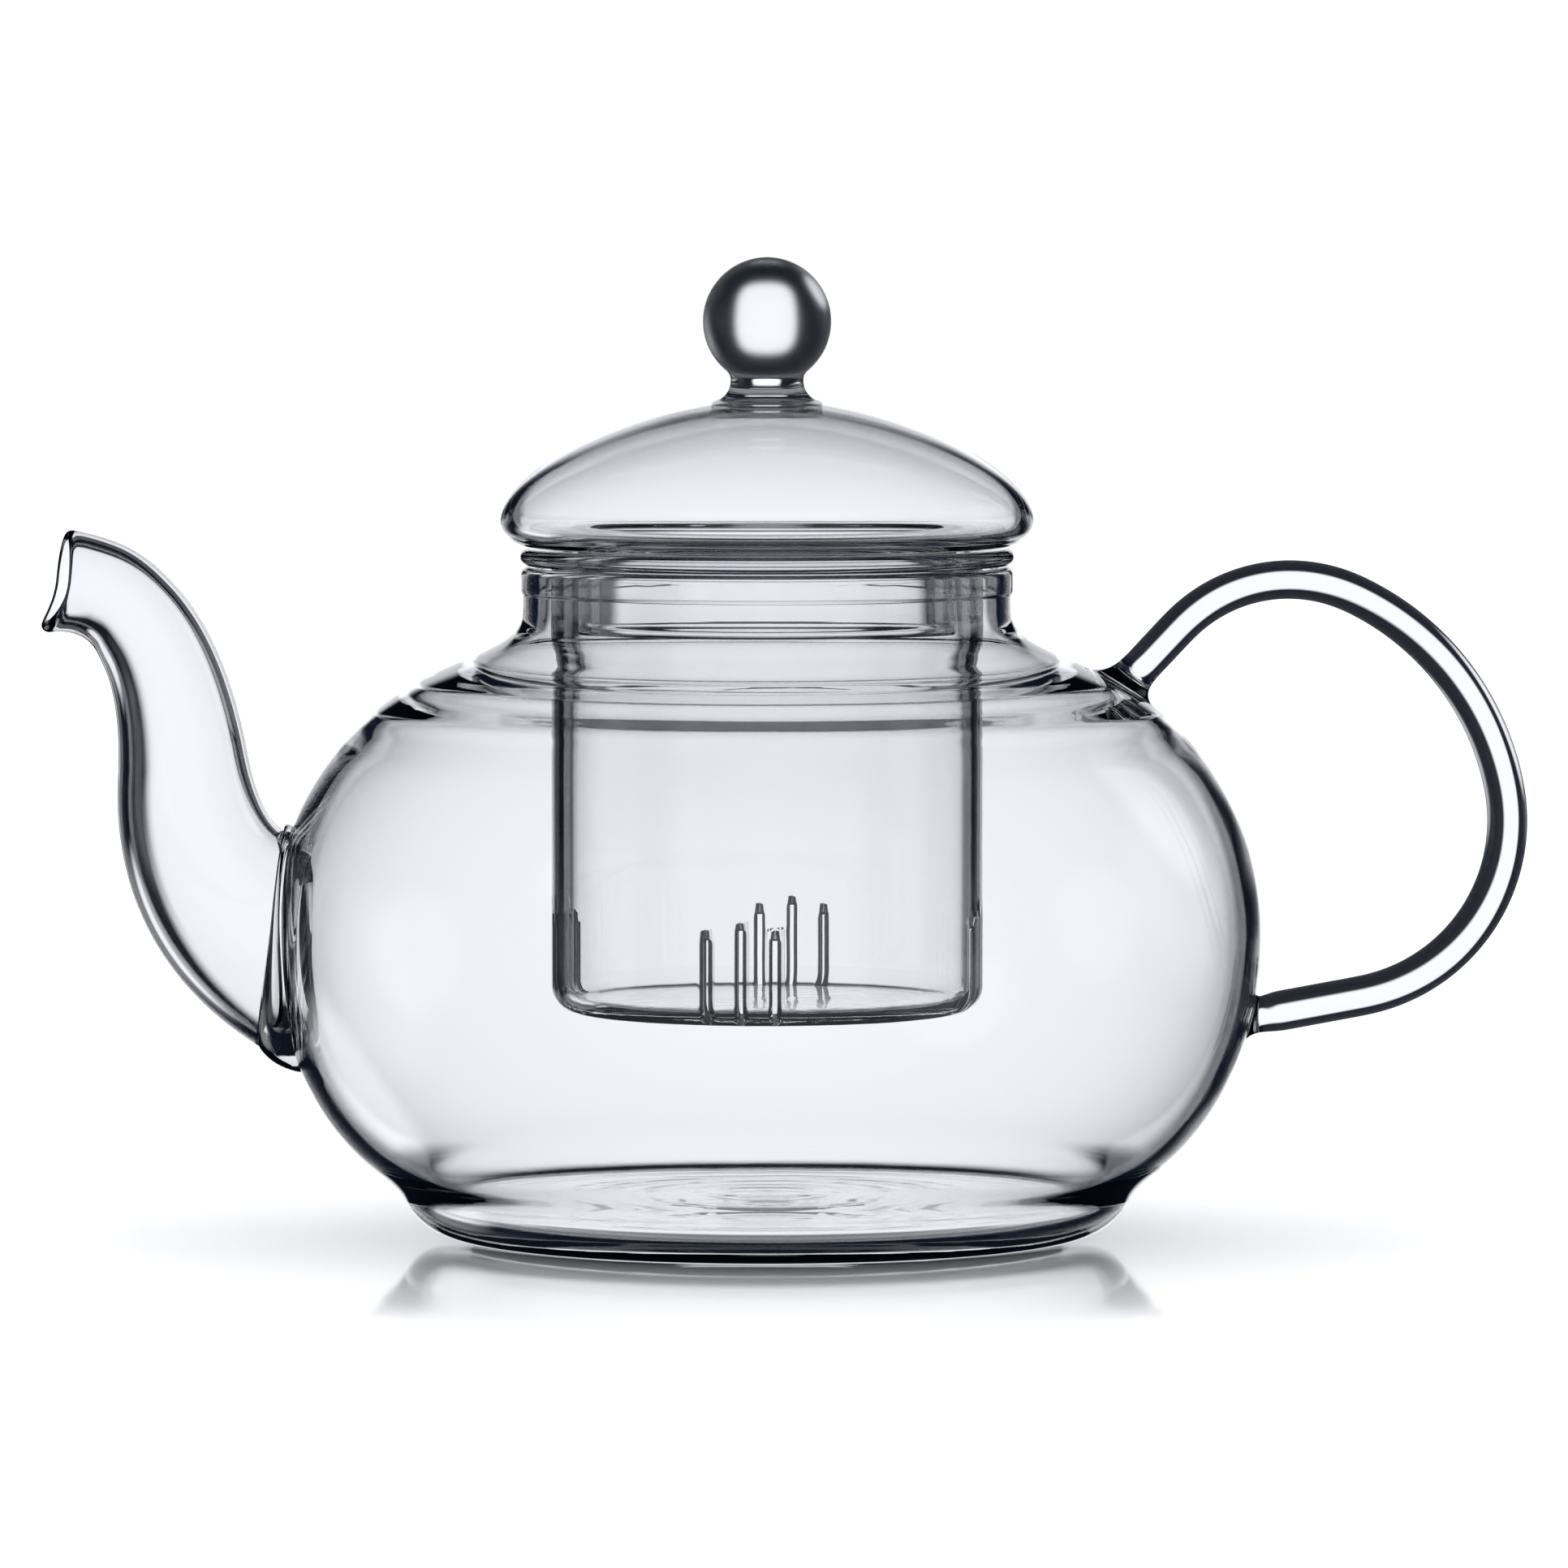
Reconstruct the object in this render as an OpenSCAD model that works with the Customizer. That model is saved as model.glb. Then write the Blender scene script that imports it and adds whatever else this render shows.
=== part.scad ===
// Glass teapot with a lift-out infuser and a domed lid, built from the pieces of
// borosilicate glass that are formed one by one and then fused.
// Millimetres, +Z up. The origin is on the table, under the middle of the pot.
// The spout points along -X and the handle along +X.

/* [Pot body] */
// Widest diameter of the body
body_d = 146.2; // [120:0.2:176]
// Height of the widest place above the table
waist_h = 44.8; // [36:0.2:54]
// Height of the pot without its lid, to the top of the neck
pot_h = 99; // [82:0.5:119]
// Height of the neck above the shoulder curve
neck_h = 12.2; // [10:0.2:16]
// Outer diameter of the neck
neck_d = 72.2; // [60:0.2:87]
// Thickness of the blown wall
pot_wall = 2.2; // [1.6:0.1:2.8]
// Thickness of the base
base_t = 3; // [2.4:0.1:4]
// Outer diameter of the ring that the pot stands on
foot_d = 90; // [75:1:100]
// Radius of the rounded foot above that ring
foot_r = 9.6; // [8:0.2:11.6]
// Width of the ring that the pot stands on
foot_ring_w = 4; // [3:0.5:6]
// How far the middle of the base is pushed up
kick_up = 0.8; // [0.4:0.1:1.5]
// Height at which the curve of the belly would close under the pot
belly_floor_h = 4.8; // [3:0.2:6]
// Height of the thick bead round the mouth of the neck
rim_h = 4.2; // [3:0.2:5.2]
// How far that bead stands out from the neck
rim_proud = 0.3; // [0.1:0.1:0.8]

/* [Spout] */
// Height of the middle of the spout's root
spout_z = 42.3; // [38:0.1:46]
// Height of the root, where the spout is fused to the body
spout_root_h = 34.4; // [28:0.2:38]
// Width of the root from side to side
spout_root_w = 32; // [28:0.2:38]
// Diameter halfway up, where the spout stands upright
spout_mid_d = 19.5; // [16:0.1:23.4]
// Diameter behind the mouth
spout_mouth_d = 14.2; // [11.8:0.1:17]
// How far the mouth lies outside the root
spout_reach = 34.2; // [28:0.2:41]
// How far the mouth lies above the middle of the root
spout_rise = 54.5; // [46:0.5:62]
// Wall of the spout
spout_wall = 1.6; // [1.2:0.1:2]
// How much the mouth flares out, at each side
lip_flare = 0.5; // [0:0.1:1.2]
// How far the pouring lip stands out under the mouth
lip_out = 2.4; // [0:0.1:3]
// Diameter of the hole in the body behind the spout
spout_hole_d = 28; // [22:0.5:30]
// Thickness of the bead that fuses the spout to the body
spout_bead_d = 3.2; // [2.4:0.1:4]

/* [Handle] */
// Diameter of the glass rod
handle_d = 6; // [5:0.1:7.2]
// Height of the lower end of the handle
handle_low_z = 32.4; // [28:0.2:38]
// Length of the straight stretch that leaves the body at the lower end
handle_foot_l = 16.6; // [13:0.2:20]
// Rise of that stretch, in degrees
handle_foot_deg = 10.5; // [5:0.5:16]
// Radius of the lower bend
handle_low_r = 26.3; // [22:0.1:31]
// Radius of the long back of the handle
handle_back_r = 40; // [34:0.5:48]
// Radius of the crown
handle_crown_r = 22.5; // [19:0.5:27]
// Radius of the fused pad at the upper end, on the body
upper_pad_r = 6.8; // [5:0.1:8]
// Radius of the fused pad at the lower end, on the body
lower_pad_r = 4.9; // [4:0.1:6]

/* [Infuser] */
// Gap between the infuser and the neck, at each side
infuser_gap = 2; // [0.8:0.1:2.4]
// Wall of the infuser
infuser_wall = 1.8; // [1.4:0.1:2.2]
// Depth of the infuser below the neck
infuser_depth = 65.9; // [54:0.5:79]
// Radius of the infuser's lower corner
infuser_corner_r = 4; // [3:0.1:5]
// Thickness of the rim that hangs on the neck
infuser_rim_t = 2.5; // [2:0.1:3]
// How far that rim reaches past the neck
infuser_rim_over = 0.5; // [0.2:0.1:1.5]
// Width of a drain slot
slot_w = 0.8; // [0.7:0.1:1.3]
// Height of the drain slots above the infuser's floor
slot_h = 14.3; // [11:0.1:17]
// How much higher the middle slot of each group is cut
slot_step = 1.2; // [0:0.1:2]
// Slots in a group
slots_per_group = 3; // [1:1:4]
// Groups round the infuser
slot_groups = 4; // [2:1:6]
// Angle between the slots of a group, in degrees
slot_pitch_deg = 9.2; // [6:0.1:12]
// How far the groups are turned from the spout, in degrees
slot_turn_deg = -7; // [-20:1:20]

/* [Lid] */
// How far the lid reaches past the infuser's rim
lid_over = 2.9; // [1:0.1:4]
// Height of the lid's edge, from its underside to its widest place
lid_edge_h = 3.9; // [3.2:0.1:5]
// Width of the rounded edge, from the flat underside to its widest place
lid_edge_w = 5; // [4:0.1:6]
// Height of the dome above the widest place
dome_h = 18.35; // [15:0.05:22.1]
// Fullness of the dome, where 2 is an ellipse and less is closer to a cone
dome_power = 1.7; // [1.5:0.05:2]
// Wall of the lid
lid_wall = 1.8; // [1.4:0.1:2.2]
// Gap between the lid's collar and the infuser, at each side
collar_gap = 2.2; // [1:0.1:2.6]
// Height of the collar below the lid
collar_h = 13; // [10:0.2:16]
// Diameter of the ball of the knob
knob_d = 19; // [16:0.2:23]
// Diameter of the stem under the ball
stem_d = 10.8; // [9:0.1:13]
// Height of the stem between the lid and the ball
stem_h = 1.2; // [1:0.1:2.5]

/* [Fit] */
// Gap where the infuser rests on the neck and where the lid rests on the infuser
seat_gap = 0.2; // [0.1:0.05:0.3]

/* [Hidden] */
$fn = 96;
glass = [0.80, 0.85, 0.89, 0.35];
thick_glass = [0.45, 0.51, 0.57, 0.55];
over = 1;            // how far a cutting solid runs past what it cuts
weld = 0.6;          // how far a fused piece sinks into the wall it is fused to

// The belly is a quarter ellipse under the waist, and the shoulder is one above it.
body_r = body_d / 2;
neck_r = neck_d / 2;
shoulder_in = 3.3;   // how far the middle of the shoulder's ellipse lies inside the neck
belly_in = 1.5;      // how far the middle of the belly's ellipse lies inside the foot
shoulder_x = neck_r - shoulder_in;
shoulder_a = body_r - shoulder_x;
shoulder_b = pot_h - neck_h - waist_h;
belly_a = body_r - foot_d / 2 + belly_in;
belly_x = body_r - belly_a;
belly_b = waist_h - belly_floor_h;
flare_deg = 64.7;    // where the shoulder turns up into the neck
pinch_deg = 60.5;    // where the belly turns down into the foot
foot_deg = 25;       // where the foot turns into that pinch
flare_h = 5.7;       // height of the flare from the shoulder up to the straight neck
// How hard each end of a blend is pulled, as a share of the gap that it crosses.
pinch_pull = [0.26, 0.36];
flare_pull = [0.53, 0.29];

rim_z = pot_h - rim_h;
neck_bore_r = neck_r - pot_wall;
infuser_r = neck_bore_r - infuser_gap;
infuser_bore_r = infuser_r - infuser_wall;
infuser_rim_z = pot_h + seat_gap;
infuser_rim_top = infuser_rim_z + infuser_rim_t;
infuser_rim_r = neck_r + infuser_rim_over;
infuser_floor_z = pot_h - infuser_depth;
join_h = 0.5;        // where the infuser's tube starts, above its rounded corner
infuser_join_z = infuser_floor_z + infuser_corner_r + join_h;
lid_z = infuser_rim_top + seat_gap;
lid_r = infuser_rim_r + lid_over;
lid_wide_z = lid_z + lid_edge_h;
collar_r = infuser_bore_r - collar_gap;
collar_bore_r = collar_r - lid_wall;
stem_r = stem_d / 2;
stem_foot_h = 2;     // height of the stem's flared foot above the dome
dome_top_z = lid_wide_z + dome_h + stem_foot_h;
ball_r = knob_d / 2;
ball_foot_z = dome_top_z + stem_h;
ball_z = ball_foot_z + sqrt(ball_r * ball_r - stem_r * stem_r);

function bezier(p, q, r, s, t) =
    pow(1 - t, 3) * p + 3 * t * pow(1 - t, 2) * q + 3 * t * t * (1 - t) * r + t * t * t * s;
// A curve from p to s that leaves p along u and reaches s along v, each for a share of the gap.
function blend(p, u, ku, s, v, kv, n) =
    let (d = norm(s - p))
    [for (i = [0:n]) bezier(p, p + ku * d * u, s - kv * d * v, s, i / n)];
// A place on an ellipse, moved in from it by t along its normal.
function ellipse_at(x, z, a, b, deg, t = 0) =
    let (nx = b * cos(deg), nz = a * sin(deg), n = norm([nx, nz]))
    [x + a * cos(deg) - t * nx / n, z + b * sin(deg) - t * nz / n];
function ellipse_way(a, b, deg) =
    let (w = [-a * sin(deg), b * cos(deg)]) w / norm(w);
function reversed(list) = [for (i = [len(list) - 1:-1:0]) list[i]];
// Outer radius of the body at a height between the foot and the neck.
function body_at(z) = z > waist_h
    ? shoulder_x + shoulder_a * sqrt(max(0, 1 - pow((z - waist_h) / shoulder_b, 2)))
    : belly_x + belly_a * sqrt(max(0, 1 - pow((waist_h - z) / belly_b, 2)));

// One side of the pot's wall from the foot to the neck, moved in by tf at the foot and tw above it.
function pot_side(tf, tw) =
    let (c = [foot_d / 2, foot_r],
         r = foot_r - tf,
         foot = [for (i = [0:9]) let (d = -90 + (90 - foot_deg) * i / 9) c + r * [cos(d), sin(d)]],
         low = ellipse_at(belly_x, waist_h, belly_a, belly_b, -pinch_deg, tw),
         high = ellipse_at(shoulder_x, waist_h, shoulder_a, shoulder_b, flare_deg, tw),
         pinch = blend(foot[9], [sin(foot_deg), cos(foot_deg)], pinch_pull[0],
                       low, ellipse_way(belly_a, belly_b, -pinch_deg), pinch_pull[1], 8),
         belly = [for (i = [1:16]) ellipse_at(belly_x, waist_h, belly_a, belly_b,
                                               -pinch_deg * (1 - i / 16), tw)],
         shoulder = [for (i = [1:18]) ellipse_at(shoulder_x, waist_h, shoulder_a, shoulder_b,
                                                  flare_deg * i / 18, tw)],
         neck_foot = [neck_r - tw, pot_h - neck_h + flare_h],
         flare = blend(high, ellipse_way(shoulder_a, shoulder_b, flare_deg), flare_pull[0],
                       neck_foot, [0, 1], flare_pull[1], 12))
    concat(foot, tail(pinch), belly, shoulder, tail(flare), [[neck_r - tw, rim_z]]);
function tail(list) = [for (i = [1:len(list) - 1]) list[i]];

module pot_body() color(glass) difference() {
    underside = [for (i = [0:8]) let (r = (foot_d / 2 - foot_ring_w) * i / 8)
        [r, kick_up * (1 - pow(i / 8, 2))]];
    floor_in = [for (p = underside) p + [0, base_t]];
    rotate_extrude() polygon(concat(underside, pot_side(0, 0),
                                    reversed(pot_side(base_t, pot_wall)), reversed(floor_in)));
    translate([-body_r - over, 0, spout_z]) rotate([0, 90, 0])
        cylinder(d = spout_hole_d, h = spout_hole_d / 2);
}

// The thick bead round the mouth of the neck, rounded where it was melted.
rim_round = 1;
module neck_rim() color(thick_glass) {
    r = rim_round;
    out = neck_r + rim_proud;
    rotate_extrude() polygon(concat(
        [[neck_bore_r, rim_z], [neck_r, rim_z], [out, rim_z + rim_proud]],
        [for (i = [0:6]) [out - r, pot_h - r] + r * [cos(15 * i), sin(15 * i)]],
        [for (i = [0:6]) [neck_bore_r + r, pot_h - r] + r * [-sin(15 * i), cos(15 * i)]]));
}

// The spout lies between a lower and an upper edge in the plane y = 0, both given as
// [distance out from the middle of the pot, height]. Each ring is an ellipse from edge to edge.
root_in = 2.8;       // how far inside the skin the two edges start
mid_lean = 10.3;     // how far the ring halfway is turned up from level, in degrees
mouth_lean = 84.6;   // and the ring of the mouth
mid_share = [0.472, 0.504];   // where the ring halfway lies, as shares of the reach and the rise
run = [spout_reach, 0];
rise = [0, spout_rise];
root_up = [0, spout_root_h / 2];
mid_up = spout_mid_d / 2 * [-cos(mid_lean), sin(mid_lean)];
mouth_up = spout_mouth_d / 2 * [-cos(mouth_lean), sin(mouth_lean)];
root_at = [body_at(spout_z) - root_in, spout_z];
mid_at = root_at + mid_share[0] * run + mid_share[1] * rise;
mouth_at = root_at + run + rise;
flare_from = 0.93;   // shares of the spout's length where the mouth starts to flare,
lip_from = 0.85;     // where the lip starts to reach out,
root_to = 0.06;      // and where the rings have left the skin of the body
spout_rings = 40;
spout_sides = 40;

// Two curves end to end, from p to q and from q to r. Each end is pulled along a step of its own.
function two_beziers(p, p1, q1, q, q2, r2, r, t) =
    t < 0.5 ? bezier(p, p + p1, q - q1, q, 2 * t) : bezier(q, q + q2, r - r2, r, 2 * t - 1);
// The lower and the upper edge. Every pull is a share of the reach and a share of the rise.
function low_edge(t) = two_beziers(
    root_at - root_up, 0.57 * run + 0.18 * rise,
    -0.03 * run + 0.31 * rise, mid_at - mid_up, -0.012 * run + 0.165 * rise,
    0.25 * run + 0.015 * rise, mouth_at - mouth_up, t);
function high_edge(t) = two_beziers(
    root_at + root_up, 0.09 * run + 0.01 * rise,
    0.04 * run + 0.13 * rise, mid_at + mid_up, 0.08 * run + 0.266 * rise,
    0.52 * run + 0.018 * rise, mouth_at + mouth_up, t);
// How far the surface of the body lies out from the plane x = 0, at a side distance and a height.
function skin_x(y, z) = sqrt(max(0, pow(body_at(z), 2) - y * y));

// Ring t of the spout, moved in by w. At the root the ring lies on the skin of the body, and at
// the mouth it flares and reaches out under the stream.
function spout_ring(t, w) =
    let (lo = low_edge(t), hi = high_edge(t),
         mid = (lo + hi) / 2, up = (hi - lo) / 2, half = norm(up),
         flare = lip_flare * pow(max(0, (t - flare_from) / (1 - flare_from)), 2),
         k = (half - w + flare) / half,
         side = (1 + (spout_root_w / spout_root_h - 1) * pow(1 - t, 3)) * (half + flare) - w,
         root = pow(max(0, 1 - t / root_to), 2),
         lip = lip_out * pow(max(0, (t - lip_from) / (1 - lip_from)), 2))
    [for (i = [0:spout_sides - 1]) let (
        d = 360 * i / spout_sides,
        p = mid + k * cos(d) * up,
        y = side * sin(d),
        reach = lip * pow(max(0, -cos(d)), 2),
        x = (1 - root) * (p[0] + reach) + root * (skin_x(y, p[1]) - weld))
        [-x, y, p[1]]];

// A bead of melted glass round the root of the spout, laid on the skin of the body.
bead_r = spout_bead_d / 2;
bead_steps = 64;
bead_sides = 12;
function bead_ring(deg) =
    let (y = (spout_root_w / 2 + bead_r / 3) * sin(deg),
         z = spout_z + (spout_root_h / 2 + bead_r / 3) * cos(deg))
    [for (j = [0:bead_sides - 1]) let (e = 360 * j / bead_sides)
        [-skin_x(y, z), y, z] + bead_r * (cos(e) * [0, sin(deg), cos(deg)] + sin(e) * [-1, 0, 0])];

// A skin over rings of n points each. The last ring is joined to the first, or both are capped.
module ring_skin(rings, n, capped = false) {
    count = len(rings);
    strips = capped ? count - 2 : count - 1;
    sides = [for (i = [0:strips], j = [0:n - 1]) let (
        a = i * n + j, b = i * n + (j + 1) % n,
        c = (i + 1) % count * n + (j + 1) % n, d = (i + 1) % count * n + j)
        each [[a, b, c], [a, c, d]]];
    caps = [[for (j = [n - 1:-1:0]) j], [for (j = [0:n - 1]) (count - 1) * n + j]];
    polyhedron(points = [for (ring = rings) each ring], faces = capped ? concat(sides, caps) : sides);
}

module spout() color(glass) ring_skin(
    concat([for (i = [0:spout_rings]) spout_ring(i / spout_rings, 0)],
           [for (i = [spout_rings:-1:0]) spout_ring(i / spout_rings, spout_wall)]), spout_sides);

module spout_bead() color(thick_glass) ring_skin(
    [for (i = [0:bead_steps - 1]) bead_ring(-360 * i / bead_steps)], bead_sides);

// The handle is one bent rod in the plane y = 0: a straight foot, three bends that run into
// each other, and a straight stretch down to the shoulder.
low_bend_deg = handle_foot_deg - 90;
back_deg = 10.8;     // where the lower bend runs into the back,
crown_deg = 65;      // the back into the crown,
end_deg = 137;       // and the crown into the straight stretch, in degrees round each bend
function at_angle(deg) = [cos(deg), sin(deg)];
handle_low = [body_at(handle_low_z), handle_low_z];
low_end = handle_low + handle_foot_l * at_angle(handle_foot_deg);
low_c = low_end - handle_low_r * at_angle(low_bend_deg);
back_c = low_c + (handle_low_r - handle_back_r) * at_angle(back_deg);
crown_c = back_c + (handle_back_r - handle_crown_r) * at_angle(crown_deg);
crown_end = crown_c + handle_crown_r * at_angle(end_deg);
// The last stretch runs until it meets the ellipse of the shoulder.
end_way = at_angle(end_deg + 90);
end_from = [(crown_end[0] - shoulder_x) / shoulder_a, (crown_end[1] - waist_h) / shoulder_b];
end_step = [end_way[0] / shoulder_a, end_way[1] / shoulder_b];
qa = end_step * end_step;
qb = end_from * end_step;
qc = end_from * end_from - 1;
end_l = (-qb - sqrt(qb * qb - qa * qc)) / qa;
handle_high = crown_end + end_l * end_way;

// Stops along the rod, each a place and the way the rod runs there, in degrees.
function bend_stops(c, r, from, to, n) = [for (i = [1:n]) let (d = from + (to - from) * i / n)
    [c + r * at_angle(d), d + 90]];
handle_stops = concat(
    [[handle_low - weld * at_angle(handle_foot_deg), handle_foot_deg],
     [(handle_low + low_end) / 2, handle_foot_deg], [low_end, handle_foot_deg]],
    bend_stops(low_c, handle_low_r, low_bend_deg, back_deg, 16),
    bend_stops(back_c, handle_back_r, back_deg, crown_deg, 12),
    bend_stops(crown_c, handle_crown_r, crown_deg, end_deg, 14),
    [[crown_end + (end_l + weld) * end_way, end_deg + 90]]);
rod_sides = 28;

module handle() color(thick_glass) ring_skin(
    [for (stop = handle_stops) [for (j = [0:rod_sides - 1]) let (
        e = 360 * j / rod_sides,
        p = stop[0] + handle_d / 2 * cos(e) * at_angle(stop[1] + 90))
        [p[0], handle_d / 2 * sin(e), p[1]]]], rod_sides, capped = true);

// A pad of melted glass on the skin of the body, drawn up round the end of the rod. Its foot
// sinks into the wall, and it stands along the skin's normal.
pad_over = 0.4;      // how far the top of a pad stands out from the rod
upper_pad_h = 4.5;
lower_pad_h = 3;
module fused_pad(p, foot_r, h) {
    rod_r = handle_d / 2 + pad_over;
    sink = pot_wall / 2;
    translate([p[0], 0, p[1]]) rotate([0, 90 - skin_deg(p), 0]) rotate_extrude() polygon(concat(
        [[0, -sink], [foot_r, -sink]],
        [for (i = [0:8]) let (d = 90 * i / 8)
            [rod_r + (foot_r - rod_r) * (1 - sin(d)), h * (1 - cos(d))]],
        [[0, h]]));
}
// The way the skin of the body faces at a place of its outline, in degrees up from level.
function skin_deg(p) = p[1] > waist_h
    ? atan2((p[1] - waist_h) / pow(shoulder_b, 2), (p[0] - shoulder_x) / pow(shoulder_a, 2))
    : atan2((p[1] - waist_h) / pow(belly_b, 2), (p[0] - belly_x) / pow(belly_a, 2));
module handle_upper_pad() color(thick_glass) fused_pad(handle_high, upper_pad_r, upper_pad_h);
module handle_lower_pad() color(thick_glass) fused_pad(handle_low, lower_pad_r, lower_pad_h);

// Saw cuts through the wall and round the lower corner of the infuser.
module drain_slots() for (g = [0:slot_groups - 1], s = [0:slots_per_group - 1]) {
    off = s - (slots_per_group - 1) / 2;
    top = infuser_floor_z + slot_h + (abs(off) < 1 ? slot_step : 0);
    rotate([0, 0, 90 + slot_turn_deg + 360 * g / slot_groups + slot_pitch_deg * off])
        translate([infuser_bore_r - infuser_wall, -slot_w / 2, infuser_floor_z - over])
            cube([2 * infuser_wall + over, slot_w, top - infuser_floor_z + over]);
}

module infuser_tube() color(glass) difference() {
    h = infuser_rim_z - infuser_join_z;
    translate([0, 0, infuser_join_z]) cylinder(r = infuser_r, h = h);
    translate([0, 0, infuser_join_z - over]) cylinder(r = infuser_bore_r, h = h + 2 * over);
    drain_slots();
}

// The closed lower end, with a rounded corner.
module infuser_base() color(glass) difference() {
    c = [infuser_r - infuser_corner_r, infuser_floor_z + infuser_corner_r];
    r_in = infuser_corner_r - infuser_wall;
    rotate_extrude() polygon(concat(
        [[0, infuser_floor_z]],
        [for (i = [0:10]) c + infuser_corner_r * at_angle(-90 + 9 * i)],
        [[infuser_r, infuser_join_z], [infuser_bore_r, infuser_join_z]],
        [for (i = [0:10]) c + r_in * at_angle(-9 * i)],
        [[0, infuser_floor_z + infuser_wall]]));
    drain_slots();
}

// The ring that hangs on the neck, with a fully rounded edge.
module infuser_rim() color(thick_glass) rotate_extrude() {
    r = infuser_rim_t / 2;
    translate([infuser_bore_r, infuser_rim_z]) square([infuser_rim_r - r - infuser_bore_r, infuser_rim_t]);
    intersection() {
        translate([infuser_rim_r - r, infuser_rim_z + r]) circle(r);
        translate([infuser_rim_r - r, infuser_rim_z]) square([r, infuser_rim_t]);
    }
}

// The dome, moved in by w: a curve between a cone and an ellipse, down to the widest place.
function dome_side(w, from, n) = [for (i = [0:n]) let (d = from * (1 - i / n))
    [(lid_r - w) * pow(cos(d), 2 / dome_power), lid_wide_z + (dome_h - w) * pow(sin(d), 2 / dome_power)]];
// The rounded edge, from the widest place down to the flat underside.
function lid_edge(w, n) = [for (i = [0:n]) let (d = -90 * i / n)
    [lid_r - lid_edge_w + (lid_edge_w - w) * cos(d), lid_wide_z + (lid_edge_h - w) * sin(d)]];

stem_meets_deg = 75; // where the stem's foot runs into the dome
stem_pull = [0.26, 0.5];
module lid_dome() color(glass) {
    outside = dome_side(0, stem_meets_deg, 24);
    way = (outside[1] - outside[0]) / norm(outside[1] - outside[0]);
    stem_foot = blend([stem_r, dome_top_z], [0, -1], stem_pull[0], outside[0], way, stem_pull[1], 8);
    rotate_extrude() polygon(concat(
        [[0, dome_top_z]], stem_foot, tail(outside), tail(lid_edge(0, 10)),
        [[collar_bore_r, lid_z], [collar_bore_r, lid_z + lid_wall]],
        reversed(lid_edge(lid_wall, 10)), tail(reversed(dome_side(lid_wall, 90, 28)))));
}

// The collar that keeps the lid in the infuser, melted round at its lower end.
module lid_collar() color(glass) {
    r = lid_wall / 2;
    c = [collar_bore_r + r, lid_z - collar_h + r];
    rotate_extrude() polygon(concat(
        [[collar_r, lid_z], [collar_bore_r, lid_z]],
        [for (i = [0:10]) c + r * at_angle(180 + 18 * i)]));
}

stem_waist = 0.2;    // how much the stem is drawn in halfway
module knob_stem() color(thick_glass) rotate_extrude() polygon(concat(
    [[0, dome_top_z]],
    [for (i = [0:6]) [stem_r - stem_waist * sin(30 * i), dome_top_z + stem_h * i / 6]],
    [[0, ball_foot_z]]));

module knob_ball() color(thick_glass) intersection() {
    translate([0, 0, ball_z]) sphere(ball_r);
    translate([-knob_d, -knob_d, ball_foot_z]) cube([2 * knob_d, 2 * knob_d, 2 * knob_d]);
}

pot_body();
neck_rim();
spout();
spout_bead();
handle();
handle_upper_pad();
handle_lower_pad();
infuser_tube();
infuser_base();
infuser_rim();
lid_dome();
lid_collar();
knob_stem();
knob_ball();
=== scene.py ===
import bpy
import bmesh
import numpy as np
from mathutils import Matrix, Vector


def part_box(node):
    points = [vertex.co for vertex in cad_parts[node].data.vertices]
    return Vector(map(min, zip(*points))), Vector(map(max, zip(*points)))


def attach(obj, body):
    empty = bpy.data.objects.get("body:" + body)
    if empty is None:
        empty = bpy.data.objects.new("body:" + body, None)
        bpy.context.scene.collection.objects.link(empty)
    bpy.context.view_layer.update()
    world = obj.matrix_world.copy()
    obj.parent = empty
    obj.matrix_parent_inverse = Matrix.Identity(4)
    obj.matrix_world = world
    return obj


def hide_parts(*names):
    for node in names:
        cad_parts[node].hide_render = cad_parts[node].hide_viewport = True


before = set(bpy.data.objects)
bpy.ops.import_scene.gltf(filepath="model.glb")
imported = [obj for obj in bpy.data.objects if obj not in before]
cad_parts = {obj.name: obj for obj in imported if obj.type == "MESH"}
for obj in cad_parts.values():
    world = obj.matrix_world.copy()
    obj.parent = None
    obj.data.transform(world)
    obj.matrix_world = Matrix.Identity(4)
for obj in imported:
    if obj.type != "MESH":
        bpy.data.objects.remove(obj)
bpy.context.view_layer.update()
print("frame loaded")

# A teapot of clear borosilicate glass. Each piece is a smooth surface of its own, and pieces
# that are melted together share the rings where they meet, so light passes the joint as in
# one glass. Outlines are [distance from the axis, height] in metres.

mm = 0.001


def bezier(p, q, r, s, n):
    # cubic curve from p to s that is pulled towards q and r, as n + 1 places
    t = np.linspace(0, 1, n + 1)[:, None]
    return (1 - t)**3 * p + 3 * t * (1 - t)**2 * q + 3 * t**2 * (1 - t) * r + t**3 * s


def blend(p, wayOut, pullOut, s, wayIn, pullIn, n=60):
    # a bezier that leaves p along wayOut and reaches s along wayIn, pulled by shares of the gap
    p, s = np.array(p, float), np.array(s, float)
    gap = np.linalg.norm(s - p)
    return bezier(p, p + pullOut * gap * np.array(wayOut), s - pullIn * gap * np.array(wayIn), s, n)


def arc(centre, radius, fromDeg, toDeg, n=40):
    # part of a circle, or of an ellipse where radius is a pair
    a = np.radians(np.linspace(fromDeg, toDeg, n + 1))[:, None]
    return np.array(centre) + np.array(radius) * np.hstack([np.cos(a), np.sin(a)])


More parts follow.
